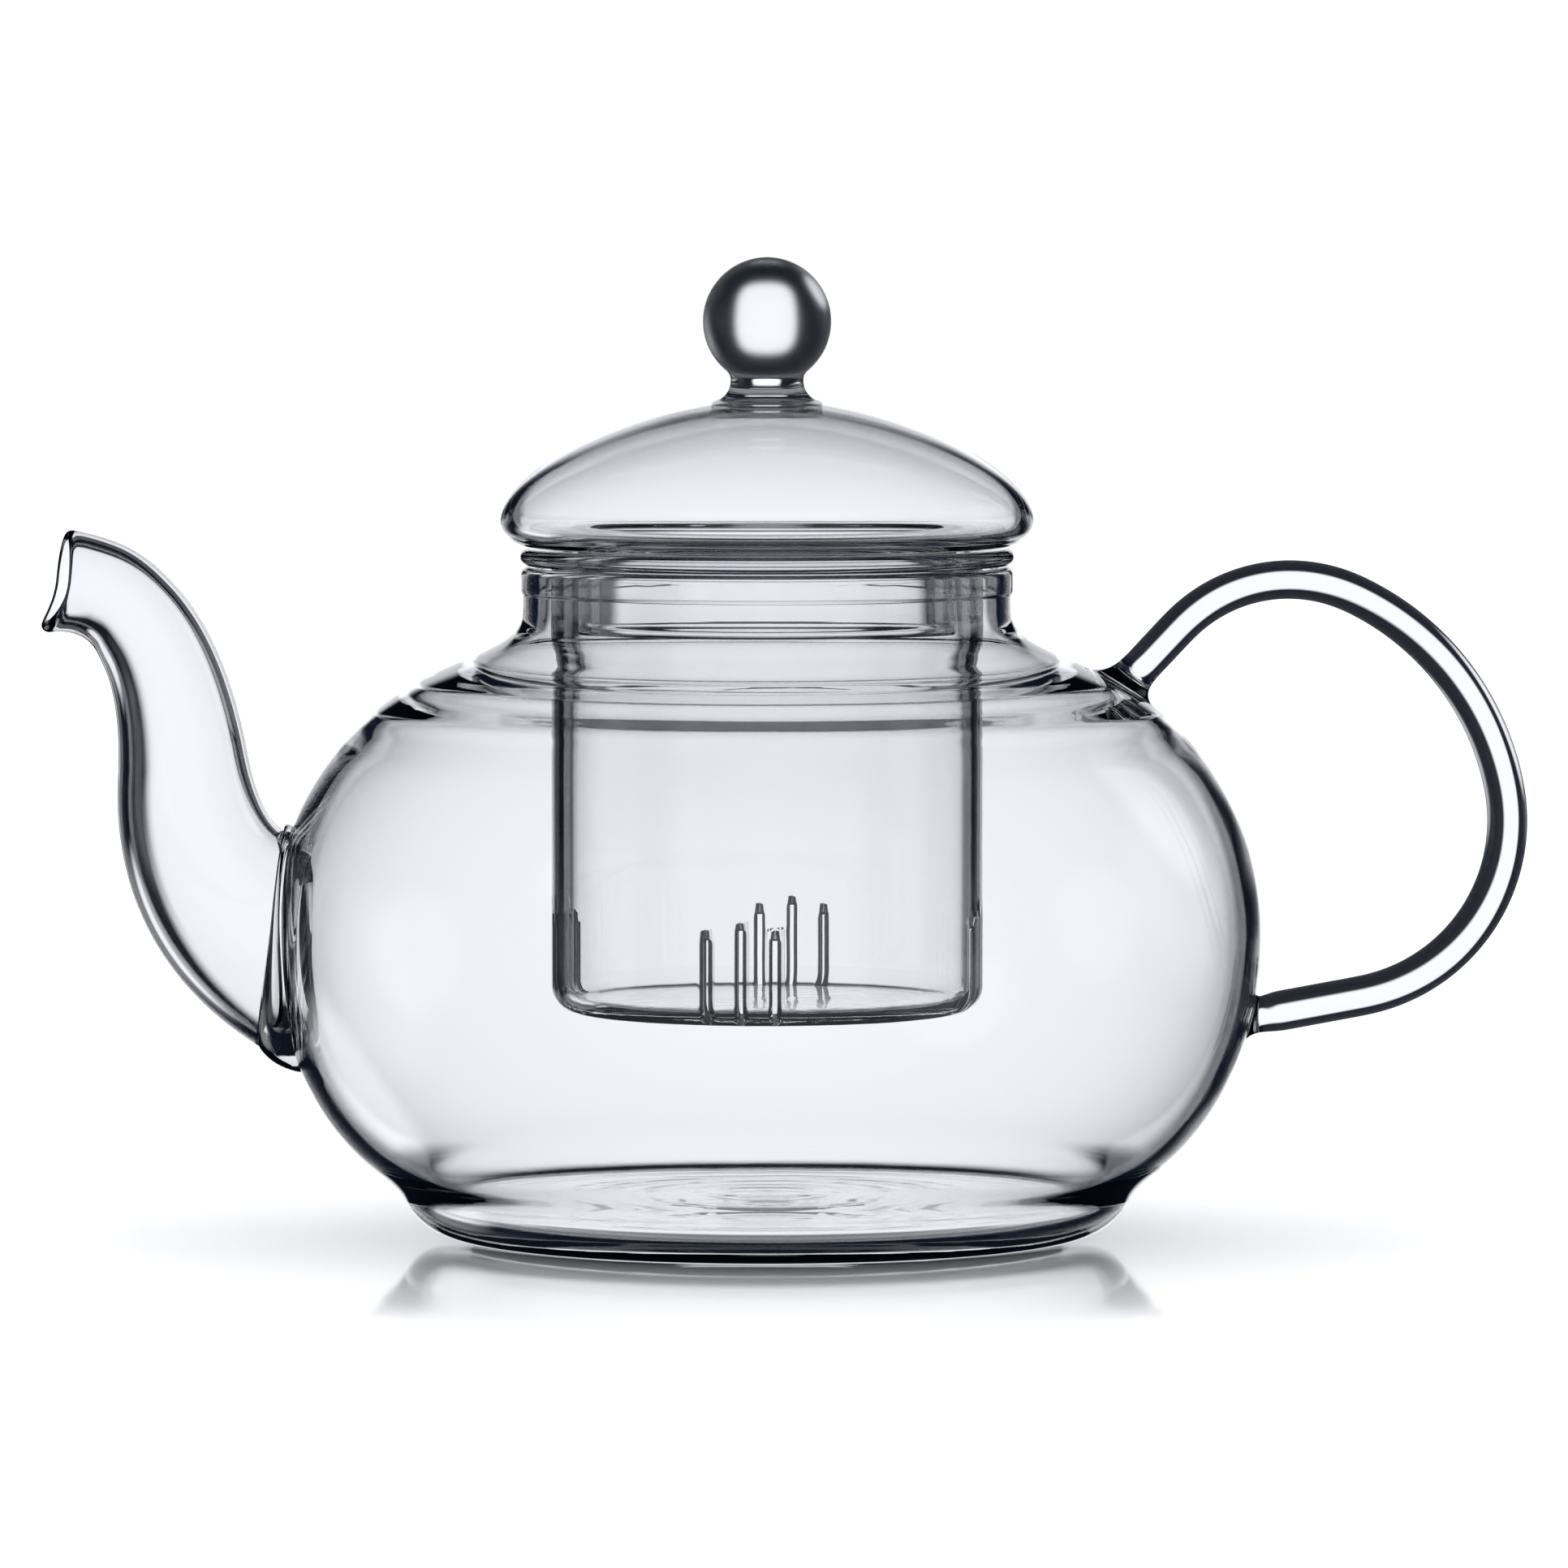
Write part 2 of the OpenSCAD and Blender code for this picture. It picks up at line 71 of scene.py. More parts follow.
def ellipseWall(centre, semi, fromDeg, toDeg, inset, n=160):
    # an ellipse moved in along its own normal by the wall's thickness
    a = np.radians(np.linspace(fromDeg, toDeg, n + 1))
    normal = np.stack([semi[1] * np.cos(a), semi[0] * np.sin(a)], 1)
    normal /= np.linalg.norm(normal, axis=1)[:, None]
    ring = np.stack([centre[0] + semi[0] * np.cos(a), centre[1] + semi[1] * np.sin(a)], 1)
    return ring - inset * normal


def ellipseWay(semi, deg):
    # the unit way along an ellipse at an angle: (-a sin, b cos) over its length
    a = np.radians(deg)
    way = np.array([-semi[0] * np.sin(a), semi[1] * np.cos(a)])
    return way / np.linalg.norm(way)


def line(p, q, n=20):
    # n + 1 places from p to q: p times (1 - t) plus q times t
    t = np.linspace(0, 1, n + 1)[:, None]
    return np.array(p) * (1 - t) + np.array(q) * t


def chain(*parts):
    # parts end to end, without the doubled places where they meet
    return np.vstack([parts[0]] + [part[1:] for part in parts[1:]])


def runOf(path):
    # distance run along a path, from 0 at its start
    return np.concatenate([[0], np.cumsum(np.linalg.norm(np.diff(path, axis=0), axis=1))])


def evenly(path, step, *others):
    # the path, and others sampled with it, at even steps along its length
    run = runOf(path)
    at = np.linspace(0, run[-1], max(2, int(round(run[-1] / step)) + 1))
    pick = lambda p: np.stack([np.interp(at, run, p[:, k]) for k in range(p.shape[1])], 1)
    return [pick(p) for p in (path, *others)]


def melt(path, reach):
    # rounds the corners of an evenly stepped path: a moving mean over reach steps, ends held
    k = np.hanning(2 * reach + 3)[1:-1]
    k /= k.sum()
    pad = len(k) // 2
    long = np.vstack([2 * path[0] - path[pad:0:-1], path, 2 * path[-1] - path[-2:-pad - 2:-1]])
    return np.stack([np.convolve(long[:, i], k, "valid") for i in range(path.shape[1])], 1)


def smoothStep(x):
    # 3 x squared less 2 x cubed, with x held between 0 and 1
    x = np.clip(x, 0, 1)
    return x * x * (3 - 2 * x)


def gridFaces(rows, cols, closed=True, keep=None):
    # quads between neighbouring rows and columns, the last column joined to the first if closed
    i, j = np.meshgrid(np.arange(rows - 1), np.arange(cols if closed else cols - 1), indexing="ij")
    k = (j + 1) % cols
    quads = np.stack([i * cols + j, i * cols + k, (i + 1) * cols + k, (i + 1) * cols + j], -1)
    return quads[keep] if keep is not None else quads.reshape(-1, 4)


def revolve(path, columns=200, angles=None):
    # every place of the outline carried round the Z axis
    a = np.linspace(0, 2 * np.pi, columns, endpoint=False) if angles is None else angles
    r, z = path[:, :1], path[:, 1:]
    spots = np.stack([r * np.cos(a), r * np.sin(a), z + 0 * a], -1)
    return spots.reshape(-1, 3), gridFaces(len(path), len(a))


def tube(rings, flip=False):
    # rows of places round a tube, one row a ring
    rows, cols = rings.shape[:2]
    quads = gridFaces(rows, cols)
    return rings.reshape(-1, 3), quads[:, ::-1] if flip else quads


def newPiece(name, skins, finishes, body, node=None, faceFinish=None):
    # one mesh object from several skins, their shared edges sewn together
    spots, quads, marks, start = [], [], [], 0
    for k, (v, f) in enumerate(skins):
        spots.append(v)
        quads.append(f + start)
        marks.append(np.full(len(f), faceFinish[k] if faceFinish else 0))
        start += len(v)
    spots, quads, marks = np.vstack(spots), np.vstack(quads), np.concatenate(marks)
    mesh = bpy.data.meshes.new(name)
    mesh.vertices.add(len(spots))
    mesh.vertices.foreach_set("co", spots.astype(np.float32).ravel())
    mesh.loops.add(quads.size)
    mesh.loops.foreach_set("vertex_index", quads.astype(np.int32).ravel())
    mesh.polygons.add(len(quads))
    mesh.polygons.foreach_set("loop_start", np.arange(0, quads.size, 4, dtype=np.int32))
    mesh.polygons.foreach_set("material_index", marks.astype(np.int32))
    mesh.update(calc_edges=True)
    mesh.validate()
    sewn = bmesh.new()
    sewn.from_mesh(mesh)
    bmesh.ops.remove_doubles(sewn, verts=sewn.verts, dist=2e-6)
    sewn.to_mesh(mesh)
    sewn.free()
    mesh.polygons.foreach_set("use_smooth", np.ones(len(mesh.polygons), bool))
    mesh.update()
    for finish in finishes:
        mesh.materials.append(finish)
    piece = bpy.data.objects.new(name, mesh)
    bpy.context.collection.objects.link(piece)
    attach(piece, body)
    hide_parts(node or name)
    print("made", name, len(mesh.polygons), "faces")
    return piece


cameraSet = dict(away=1.752, height=0.1679, aimX=0.0025, aimZ=0.0668, lens=272.5)

eye = bpy.data.cameras.new("camera")
eye.lens = cameraSet["lens"]
eye.sensor_width = 36
camera = bpy.data.objects.new("camera", eye)
bpy.context.collection.objects.link(camera)
camera.location = (cameraSet["aimX"], -cameraSet["away"], cameraSet["height"])
drop = np.arctan2(cameraSet["height"] - cameraSet["aimZ"], cameraSet["away"])
camera.rotation_euler = (np.pi / 2 - drop, 0, 0)
bpy.context.scene.camera = camera
print("camera placed")


def paint(hexCode, alpha=1.0):
    # sRGB hex to linear colour
    c = np.array([int(hexCode[i:i + 2], 16) / 255 for i in (1, 3, 5)])
    c = np.where(c <= 0.04045, c / 12.92, ((c + 0.055) / 1.055)**2.4)
    return (*c, alpha)


def add(tree, kind, inputs=(), **settings):
    # one node, with its plain settings and the values of its sockets
    node = tree.nodes.new(kind)
    for key, value in settings.items():
        setattr(node, key, value)
    for key, value in dict(inputs).items():
        node.inputs[key].default_value = value
    return node


def glass(name, tint, roughness, wave, waveHeight, stretch, fine, fineHeight, bend=1.47):
    # borosilicate glass, refractive index 1.47: the slow waves of hand work, stretched along or
    # round the piece, and finer marks of the tool, both as height for the bump
    mat = bpy.data.materials.new(name)
    mat.use_nodes = True
    tree = mat.node_tree
    shader = tree.nodes["Principled BSDF"]
    shader.inputs["Base Color"].default_value = paint(tint)
    shader.inputs["Transmission Weight"].default_value = 1.0
    shader.inputs["IOR"].default_value = bend
    shader.inputs["Roughness"].default_value = roughness
    place = add(tree, "ShaderNodeTexCoord")
    shape = add(tree, "ShaderNodeMapping", {"Scale": stretch})
    slow = add(tree, "ShaderNodeTexNoise", {"Scale": 1 / wave, "Detail": 1.0, "Roughness": 0.4})
    quick = add(tree, "ShaderNodeTexNoise", {"Scale": 1 / fine, "Detail": 2.0, "Roughness": 0.5})
    slowBump = add(tree, "ShaderNodeBump", {"Strength": 1.0, "Distance": waveHeight})
    quickBump = add(tree, "ShaderNodeBump", {"Strength": 1.0, "Distance": fineHeight})
    tree.links.new(place.outputs["Object"], shape.inputs["Vector"])
    tree.links.new(shape.outputs["Vector"], slow.inputs["Vector"])
    tree.links.new(shape.outputs["Vector"], quick.inputs["Vector"])
    tree.links.new(slow.outputs["Fac"], slowBump.inputs["Height"])
    tree.links.new(quick.outputs["Fac"], quickBump.inputs["Height"])
    tree.links.new(slowBump.outputs["Normal"], quickBump.inputs["Normal"])
    tree.links.new(quickBump.outputs["Normal"], shader.inputs["Normal"])
    return mat


glassSet = dict(
    # blown into a turning mould: wide soft waves that run round the pot
    blown=dict(name="blown_borosilicate", tint="#FEFEFF", roughness=0.0, wave=26 * mm,
               waveHeight=0.05 * mm, stretch=(1, 1, 2.2), fine=7 * mm, fineHeight=0.002 * mm),
    # drawn tube: faint lines along its length
    drawn=dict(name="drawn_borosilicate_tube", tint="#FFFFFF", roughness=0.0, wave=22 * mm,
               waveHeight=0.02 * mm, stretch=(1, 1, 0.15), fine=5 * mm, fineHeight=0.001 * mm),
    # solid rod and ball, fire-polished
    rod=dict(name="solid_borosilicate_rod", tint="#FDFDFE", roughness=0.0, wave=18 * mm,
             waveHeight=0.02 * mm, stretch=(1, 1, 1), fine=6 * mm, fineHeight=0.001 * mm),
    # the pressed ball of the knob, its skin a little clouded, so what shows through it is soft
    # (roughness and index are matched to the look: at 1.47 the bright patch in it is too small)
    ball=dict(name="pressed_borosilicate_ball", tint="#FAFBFC", roughness=0.26, wave=18 * mm, bend=1.34,
              waveHeight=0.02 * mm, stretch=(1, 1, 1), fine=6 * mm, fineHeight=0.001 * mm),
    # beads, rims and pads where pieces were melted together
    melted=dict(name="melted_borosilicate", tint="#FDFEFE", roughness=0.0, wave=8 * mm,
                waveHeight=0.06 * mm, stretch=(1, 1, 1), fine=3 * mm, fineHeight=0.004 * mm),
    # the infuser's flat rim: a faint grey, matched to the look: painted shade for the rim's darkness,
    # beside the small real loss on its long way through glass
    rim=dict(name="thick_borosilicate_rim_painted_shade", tint="#E4E7EB", roughness=0.0, wave=12 * mm,
             waveHeight=0.04 * mm, stretch=(1, 1, 1), fine=4 * mm, fineHeight=0.002 * mm),
    # the infuser's floor, closed in the flame: small ripples that break up what shows through
    floor=dict(name="flame_closed_borosilicate", tint="#FBFCFD", roughness=0.03, wave=2.6 * mm,
               waveHeight=0.02 * mm, stretch=(1, 1, 1), fine=1.1 * mm, fineHeight=0.006 * mm),
    # the sides of the drain slots, cut with a wheel and left matt
    ground=dict(name="ground_glass", tint="#FFFFFF", roughness=0.5, wave=1.2 * mm,
                waveHeight=0.01 * mm, stretch=(1, 1, 1), fine=0.3 * mm, fineHeight=0.003 * mm))
(blownGlass, drawnGlass, rodGlass, ballGlass,
 meltedGlass, rimPaintedShadeGlass, floorGlass, groundGlass) = [glass(**glassSet[k]) for k in glassSet]
print("glass mixed")


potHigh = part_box("pot_body")[1]
rimLow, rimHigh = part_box("neck_rim")

potSet = dict(
    wall=2.2 * mm, baseThick=3 * mm, footR=45 * mm, footBend=9.6 * mm, ringWide=4 * mm,
    pushUp=0.8 * mm, waistZ=44.8 * mm, bellyFloor=4.8 * mm, neckH=12.2 * mm, neckR=36.1 * mm,
    flareDeg=64.7, pinchDeg=60.5, footDeg=25, stations=200, columns=200,
    # how far the middles of the two ellipses lie inside the neck and the foot
    shoulderIn=3.3 * mm, bellyIn=1.5 * mm,
    flareHigh=5.7 * mm, pinchPulls=(0.26, 0.36), flarePulls=(0.53, 0.29),
    wallFrom=4 * mm, step=0.08 * mm, meltOut=9, meltIn=14,
    # where the wall was left thicker inside: height, how far up and down it reaches, how much
    welts=((83.5 * mm, 2.2 * mm, 0.8 * mm), (78.8 * mm, 1.8 * mm, 0.3 * mm),
           (73 * mm, 2.4 * mm, 0.15 * mm)),
    # rings left by the turning mould: how high, two wave lengths, the share of the short one
    ripple=0.03 * mm, rippleLong=6.1 * mm, rippleShort=3.7 * mm, shortShare=0.6,
    rippleOut=38 * mm, rippleOver=6 * mm, floorTop=10 * mm,        # on the floor, inside this radius
    rippleUp=68 * mm, rippleUpOver=8 * mm, rippleEnd=5 * mm,       # under the neck, above this height
    # the melted rim: how far it stands out, where it starts and is full, its two rounded edges
    rimProud=0.3 * mm, rimStart=0.1 * mm, rimFull=0.5 * mm, rimOuterR=1.1 * mm, rimInnerR=1 * mm,
    rimStep=0.12 * mm, rimMelt=2)

bodyR = potHigh.y
potTop = rimHigh.z
rimZ = rimLow.z


def potSide(s, footInset, wallInset):
    # the pot's outline from the axis, over the foot and up to the neck
    shoulderX = s["neckR"] - s["shoulderIn"]
    shoulder = (bodyR - shoulderX, potTop - s["neckH"] - s["waistZ"])
    bellyX = s["footR"] - s["bellyIn"]
    belly = (bodyR - bellyX, s["waistZ"] - s["bellyFloor"])
    ringIn = s["footR"] - s["ringWide"]
    r = np.linspace(0, ringIn, 81)
    under = np.stack([r, footInset + s["pushUp"] * (1 - (r / ringIn)**2)], 1)
    ring = line((ringIn, footInset), (s["footR"], footInset))
    foot = arc((s["footR"], s["footBend"]), s["footBend"] - footInset, -90, -s["footDeg"])
    curveLow = ellipseWall((bellyX, s["waistZ"]), belly, -s["pinchDeg"], 0, wallInset)
    curveHigh = ellipseWall((shoulderX, s["waistZ"]), shoulder, 0, s["flareDeg"], wallInset)
    footWay = np.radians(s["footDeg"])
    pinch = blend(foot[-1], (np.sin(footWay), np.cos(footWay)), s["pinchPulls"][0],
                  curveLow[0], ellipseWay(belly, -s["pinchDeg"]), s["pinchPulls"][1])
    neckFoot = (s["neckR"] - wallInset, potTop - s["neckH"] + s["flareHigh"])
    flare = blend(curveHigh[-1], ellipseWay(shoulder, s["flareDeg"]), s["flarePulls"][0],
                  neckFoot, (0, 1), s["flarePulls"][1])
    neck = line(neckFoot, (s["neckR"] - wallInset, rimZ))
    return chain(under, ring, foot, pinch, curveLow, curveHigh, flare, neck)


outer, inner = evenly(potSide(potSet, 0, 0), potSet["step"],
                      potSide(potSet, potSet["baseThick"], potSet["wall"]))
outer, inner = melt(outer, potSet["meltOut"]), melt(inner, potSet["meltIn"])
along = np.linspace(0, 1, len(outer))


def thicken(side, s):
    # moves the inner side in along its normal: a bell-shaped swelling at each welt, and the sum
    # of a long and a short sine wave on the floor and under the neck
    way = np.gradient(side, axis=0)
    normal = np.stack([way[:, 1], -way[:, 0]], 1) / np.linalg.norm(way, axis=1)[:, None]
    run, z = runOf(side), side[:, 1]
    extra = sum(much * np.exp(-((z - at) / reach)**2) for at, reach, much in s["welts"])
    longWave = np.sin(2 * np.pi * run / s["rippleLong"])
    waves = longWave + s["shortShare"] * np.sin(2 * np.pi * run / s["rippleShort"])
    onFloor = smoothStep((s["rippleOut"] - side[:, 0]) / s["rippleOver"]) * (z < s["floorTop"])
    underNeck = smoothStep((z - s["rippleUp"]) / s["rippleUpOver"])
    extra = extra + s["ripple"] * waves * (onFloor + underNeck)
    return side - normal * (extra * smoothStep((rimZ - z) / s["rippleEnd"]))[:, None]


inner = thicken(inner, potSet)


def onWall(side, share):
    # distance from the axis and height of the wall at a share of the outline's length
    return np.interp(share, along, side[:, 0]), np.interp(share, along, side[:, 1])


def onSkin(side, turn, share):
    # the wall at that share, turned round the Z axis: (r cos, r sin, z)
    r, z = onWall(side, share)
    return np.stack([r * np.cos(turn), r * np.sin(turn), z], -1)


def shareAt(side, z):
    # the share at which the wall, above its foot, reaches a height
    high = side[:, 1] > potSet["wallFrom"]
    return np.interp(z, side[high, 1], along[high])


stations = np.linspace(0, 1, potSet["stations"] + 1)
turns = np.linspace(0, 2 * np.pi, potSet["columns"], endpoint=False)


def window(turn, share, halfCols, halfRows):
    # a rectangle of the grid round a place, and the places on its edge in order
    col = int(round(turn / (2 * np.pi) * potSet["columns"]))
    row = int(round(share * potSet["stations"]))
    c, r = np.arange(-halfCols, halfCols), np.arange(-halfRows, halfRows)
    ones = np.ones
    cols = np.concatenate([c, halfCols * ones(len(r)), -c, -halfCols * ones(len(r))]) + col
    rows = np.concatenate([-halfRows * ones(len(c)), r, halfRows * ones(len(c)), -r]) + row
    return dict(cols=(col - halfCols, col + halfCols), rows=(row - halfRows, row + halfRows),
                turn=cols * 2 * np.pi / potSet["columns"], share=rows / potSet["stations"])


def patch(side, edge, ringTurn, ringShare, flip, rows=10):
    # fills the space between a ring on the skin and the edge of its window
    t = np.linspace(0, 1, rows + 1)[:, None]
    spots = onSkin(side, ringTurn + (edge["turn"] - ringTurn) * t,
                   ringShare + (edge["share"] - ringShare) * t)
    return tube(spots, flip)


def potGrid(side, windows, inside):
    # the whole wall as a grid of turns and stations, less its windows
    keep = np.ones((len(stations) - 1, len(turns)), bool)
    for w in windows:
        cols = np.arange(*w["cols"]) % len(turns)
        keep[w["rows"][0]:w["rows"][1], cols] = False
    spots = onSkin(side, turns[None, :], stations[:, None] + 0 * turns[None, :])
    quads = gridFaces(*spots.shape[:2], keep=keep)
    return spots.reshape(-1, 3), quads[:, ::-1] if inside else quads


spoutSet = dict(
    z=42.3 * mm, rootHigh=34.4 * mm, rootWide=32 * mm, midAcross=19.5 * mm, mouthAcross=14.2 * mm,
    reach=34.2 * mm, rise=54.5 * mm, wall=1.6 * mm, midLean=10.3, mouthLean=84.6,
    sunk=2.8 * mm, middle=(0.472, 0.504),             # its start inside the skin, and its middle
    # how the two curves of each edge are pulled at their ends, in shares of reach and rise
    lowPulls=((0.57, 0.18), (0.03, -0.31), (-0.012, 0.165), (-0.25, -0.015)),
    highPulls=((0.09, 0.01), (-0.04, -0.13), (0.08, 0.266), (-0.52, -0.018)),
    # each of these starts at a share of the spout's length
    flare=0.5 * mm, flareFrom=0.93, lipOut=2.4 * mm, lipFrom=0.85, mouthTurn=0.19, turnFrom=0.8,
    rootTo=0.12, beadTo=0.045, mouthFull=1.3, rings=90, window=(11, 22),
    beadWide=1.1 * mm, beadProud=0.9 * mm, beadFull=0.8, innerBead=2.3 * mm, innerSlope=0.25)


def spoutEdges(s, t):
    # lower and upper edge of the spout in the plane y = 0, at shares t of its length
    r, z = onWall(outer, shareAt(outer, s["z"]))
    root = np.array([r - s["sunk"], s["z"]])
    run, rise = np.array([s["reach"], 0]), np.array([0, s["rise"]])
    lean = lambda size, deg: size / 2 * np.array([-np.cos(np.radians(deg)), np.sin(np.radians(deg))])
    rootUp = np.array([0, s["rootHigh"] / 2])
    midUp, mouthUp = lean(s["midAcross"], s["midLean"]), lean(s["mouthAcross"], s["mouthLean"])
    mid, mouth = root + s["middle"][0] * run + s["middle"][1] * rise, root + run + rise
    half = 200   # places on each of an edge's two curves

    def edge(side, pulls):
        # two beziers that meet at the middle, on the lower side (-1) or the upper (1)
        a, b, c = root + side * rootUp, mid + side * midUp, mouth + side * mouthUp
        held = [place + x * run + z * rise for place, (x, z) in zip((a, b, b, c), pulls)]
        path = chain(bezier(a, held[0], held[1], b, half), bezier(b, held[2], held[3], c, half))
        k = np.linspace(0, 1, 2 * half + 1)
        return np.stack([np.interp(t, k, path[:, i]) for i in range(2)], 1)

    return edge(-1, s["lowPulls"]), edge(1, s["highPulls"])


def spoutRings(s, t, phi, inset):
    # rings from edge to edge: on the skin of the body at the root, drawn out under the mouth
    low, high = spoutEdges(s, t)
    mid, up = (low + high) / 2, (high - low) / 2
    half = np.linalg.norm(up, axis=1)[:, None]
    flare = s["flare"] * np.clip((t - s["flareFrom"]) / (1 - s["flareFrom"]), 0, 1)[:, None]**2
    k = (half - inset + flare) / half
    side = (1 + (s["rootWide"] / s["rootHigh"] - 1) * (1 - t[:, None])**3) * (half + flare) - inset
    lip = s["lipOut"] * np.clip((t - s["lipFrom"]) / (1 - s["lipFrom"]), 0, 1)[:, None]**2
    lip = lip * np.clip(-np.cos(phi), 0, 1)**2
    x = mid[:, :1] + k * np.cos(phi) * up[:, :1] + lip
    z = mid[:, 1:] + k * np.cos(phi) * up[:, 1:]
    y = side * np.sin(phi)
    root = np.clip(1 - t[:, None] / s["rootTo"], 0, 1)**2
    skin = np.sqrt(np.clip(onWall(outer, shareAt(outer, z))[0]**2 - y**2, 0, None))
    turnShare = smoothStep((t[:, None] - s["turnFrom"]) / (1 - s["turnFrom"]))
    turned = s["mouthTurn"] * turnShare * (y - s["mouthAcross"] / 2)
    return np.stack([-((1 - root) * x + root * np.maximum(skin, x)) - turned, y, z], -1)


def ringOnSkin(side, centreZ, halfWide, halfHigh, phi):
    # an upright ellipse laid on the skin, on the spout's side of the pot
    y, z = halfWide * np.sin(phi), centreZ + halfHigh * np.cos(phi)
    share = shareAt(side, z)
    return np.pi - np.arcsin(y / onWall(side, share)[0]), share


s = spoutSet
outWindow = window(np.pi, shareAt(outer, s["z"]), *s["window"])
inWindow = window(np.pi, shareAt(inner, s["z"]), *s["window"])
edgeSpots = onSkin(outer, outWindow["turn"], outWindow["share"])
phi = np.arctan2(edgeSpots[:, 1] / s["rootWide"], (edgeSpots[:, 2] - s["z"]) / s["rootHigh"])
halfWide, halfHigh = s["rootWide"] / 2, s["rootHigh"] / 2
outRing = ringOnSkin(outer, s["z"], halfWide + s["beadWide"], halfHigh + s["beadWide"], phi)
inRing = ringOnSkin(inner, s["z"], halfWide - 2 * s["wall"], halfHigh - 2 * s["wall"], phi)
outShares = np.linspace(s["beadTo"], 1, s["rings"])
outside = spoutRings(s, outShares, phi, 0)
inside = spoutRings(s, outShares[::-1], phi, s["wall"])
halfway, across = (outside[-1] + inside[0]) / 2, (outside[-1] - inside[0]) / 2
ahead = outside[-1].mean(0) - outside[-4].mean(0)
ahead *= s["wall"] / 2 / np.linalg.norm(ahead)
roll = np.linspace(0, np.pi, 12)[1:-1, None, None]
mouthRoll = halfway + np.cos(roll) * across + np.sin(roll) * ahead * s["mouthFull"]
newPiece("spout", [tube(np.concatenate([outside, mouthRoll, inside]))],
         [blownGlass], "pot")

swell = np.linspace(0, 1, 15)[:, None, None]
outward = np.stack([-np.ones_like(phi), np.sin(phi), np.cos(phi)], -1) / np.sqrt(2)
outStart = onSkin(outer, *outRing)
proud = s["beadProud"] * np.sin(np.pi * swell)**s["beadFull"]
beadOut = outStart * (1 - swell) + outside[0] * swell + proud * outward
inEnd = onSkin(inner, *inRing)
inward = np.stack([1 + 0 * phi, -s["innerSlope"] * np.sin(phi), -s["innerSlope"] * np.cos(phi)], -1)
beadIn = inside[-1] * (1 - swell) + inEnd * swell + s["innerBead"] * np.sin(np.pi * swell) * inward
newPiece("spout_bead", [tube(beadOut), tube(beadIn)], [meltedGlass], "pot")


handleSet = dict(
    thick=6 * mm, crownThick=5.7 * mm, lowZ=32.4 * mm, footLong=16.6 * mm, footRise=10.5,
    lowBend=26.3 * mm, back=40 * mm, crown=22.5 * mm, backDeg=10.8, crownDeg=65, endDeg=137,
    upperPad=6.8 * mm, lowerPad=4.9 * mm, upperStand=6.5 * mm, lowerStand=4.5 * mm, sides=48,
    thinFrom=75 * mm, thinOver=45 * mm, reach=30 * mm, step=0.5 * mm, meltOver=5,
    padPull=0.62, padHold=0.55, lowerWindow=(3, 10), upperWindow=(5, 8))


def wayOf(deg):
    # the unit way at an angle: (cos, sin)
    return np.array([np.cos(np.radians(deg)), np.sin(np.radians(deg))])


def handlePath(s):
    # a straight foot, three bends that run into each other, and a straight end on the shoulder
    start = np.array([onWall(outer, shareAt(outer, s["lowZ"]))[0], s["lowZ"]])
    lowEnd = start + s["footLong"] * wayOf(s["footRise"])
    lowC = lowEnd - s["lowBend"] * wayOf(s["footRise"] - 90)
    backC = lowC + (s["lowBend"] - s["back"]) * wayOf(s["backDeg"])
    crownC = backC + (s["back"] - s["crown"]) * wayOf(s["crownDeg"])
    bends = chain(line(start, lowEnd), arc(lowC, s["lowBend"], s["footRise"] - 90, s["backDeg"]),
                  arc(backC, s["back"], s["backDeg"], s["crownDeg"]),
                  arc(crownC, s["crown"], s["crownDeg"], s["endDeg"]))
    last = bends[-1] + np.linspace(0, s["reach"], 601)[:, None] * wayOf(s["endDeg"] + 90)
    gap = last[:, 0] - onWall(outer, shareAt(outer, last[:, 1]))[0]
    return chain(bends, last[:np.argmax(gap < 0) + 1])


def rodRings(path, size, angles):
    # circles square to a path in the plane y = 0; angle 0 is on the side to the left of the way
    way = np.gradient(path, axis=0)
    way /= np.linalg.norm(way, axis=1)[:, None]
    left = np.stack([-way[:, 1], way[:, 0]], 1)[:, None, :]
    size = np.broadcast_to(size, len(path))[:, None]
    off = size / 2 * np.cos(angles)
    return np.stack([path[:, :1] + off * left[..., 0], size / 2 * np.sin(angles) + 0 * off,
                     path[:, 1:] + off * left[..., 1]], -1)


s = handleSet
rodPath = melt(evenly(handlePath(s), s["step"])[0], s["meltOver"])
rodRun = runOf(rodPath)
thinner = smoothStep((rodRun - s["thinFrom"]) / s["thinOver"])
rodSize = s["thick"] + (s["crownThick"] - s["thick"]) * thinner
rodStart = int(np.argmin(abs(rodRun - s["lowerStand"])))
rodStop = int(np.argmin(abs(rodRun - rodRun[-1] + s["upperStand"])))
roundRod = np.linspace(0, 2 * np.pi, s["sides"], endpoint=False)
rod = rodRings(rodPath, rodSize, roundRod)[rodStart:rodStop + 1]
newPiece("handle", [tube(rod, flip=True)], [rodGlass], "pot")


